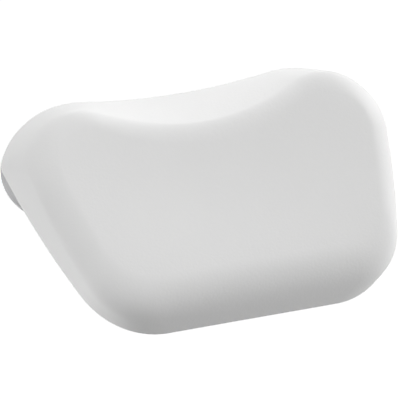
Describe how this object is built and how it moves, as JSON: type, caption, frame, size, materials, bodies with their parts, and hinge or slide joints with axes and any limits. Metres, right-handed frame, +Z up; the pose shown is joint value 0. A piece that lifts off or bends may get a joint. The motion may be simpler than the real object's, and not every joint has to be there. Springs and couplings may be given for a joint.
{
  "type": "bath pillow",
  "caption": "Moulded foam bath pillow with rounded ears and a neck dip, held on a bath's sloped wall by suction cups that turn on studs and slide in keyholes.",
  "frame": {"origin": "on the bath's wall plane, midway between the centres of the suction cups", "axes": "+X to the right seen from the front, +Z up, -Y towards the bather; the wall leans back 45 degrees, so the pillow's own up runs along (0, 0.707, 0.707)"},
  "size_m": [0.312, 0.1586, 0.1469],
  "materials": {
    "skin": "satin",
    "foam": "matte",
    "socket_plastic": "satin",
    "stud_plastic": "gloss",
    "cup_vinyl": "gloss"
  },
  "bodies": {
    "pillow": {"pillow_skin": "skin", "foam_core": "foam", "left_keyhole_plate": "socket_plastic", "right_keyhole_plate": "socket_plastic", "left_socket_box": "socket_plastic", "right_socket_box": "socket_plastic"},
    "left_stud": {"left_stud": "stud_plastic"},
    "right_stud": {"right_stud": "stud_plastic"},
    "left_cup": {"left_suction_cup": "cup_vinyl"},
    "right_cup": {"right_suction_cup": "cup_vinyl"}
  },
  "joints": [
    {"name": "left_stud_slide", "type": "slide", "parent": "pillow", "child": "left_stud", "axis": [0, 0.7071, 0.7071], "range_m": [-0.014, 0]},
    {"name": "right_stud_slide", "type": "slide", "parent": "pillow", "child": "right_stud", "axis": [0, 0.7071, 0.7071], "range_m": [-0.014, 0]},
    {"name": "left_cup_spin", "type": "hinge", "parent": "left_stud", "child": "left_cup", "pos_m": [-0.114, 0, 0], "axis": [0, 0.7071, -0.7071], "continuous": true},
    {"name": "right_cup_spin", "type": "hinge", "parent": "right_stud", "child": "right_cup", "pos_m": [0.114, 0, 0], "axis": [0, 0.7071, -0.7071], "continuous": true}
  ]
}
